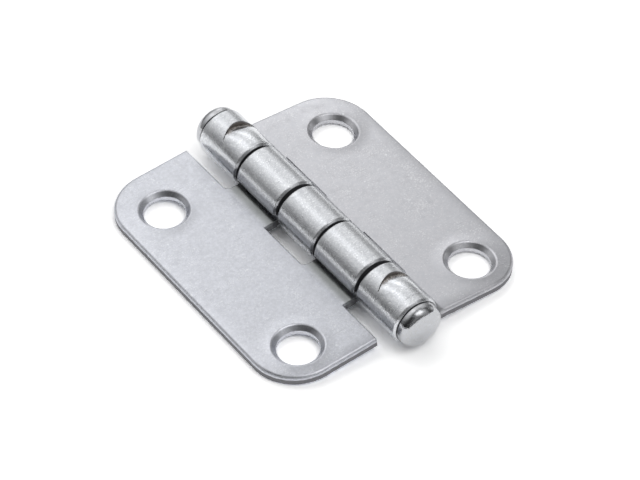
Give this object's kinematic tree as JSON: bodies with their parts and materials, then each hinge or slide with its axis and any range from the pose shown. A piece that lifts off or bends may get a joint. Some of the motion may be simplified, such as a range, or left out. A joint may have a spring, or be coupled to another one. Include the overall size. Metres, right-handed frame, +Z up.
{
  "type": "surface mount hinge",
  "caption": "Small open-lying steel hinge with rounded leaves, countersunk screw holes, rolled interleaved knuckles and a headed pin crimped in place.",
  "frame": {"origin": "the middle of the hinge pin, on its axis, half way along the barrel", "axes": "+Y along the pin towards the far end, +Z up out of the countersunk faces, -X towards the left leaf"},
  "size_m": [0.037, 0.0446, 0.0066],
  "materials": {
    "left_leaf": "bright zinc-plated pressed steel, satin",
    "right_leaf": "bright zinc-plated pressed steel, satin",
    "hinge_pin": "bright zinc-plated steel wire with upset heads, satin"
  },
  "bodies": {
    "right_leaf": {"right_leaf": "right_leaf", "hinge_pin": "hinge_pin"},
    "left_leaf": {"left_leaf": "left_leaf"}
  },
  "joints": [
    {"name": "leaf_swing", "type": "hinge", "parent": "right_leaf", "child": "left_leaf", "pos_m": [0, 0, 0], "axis": [0, 1, 0], "range_deg": [-120, 190]}
  ]
}
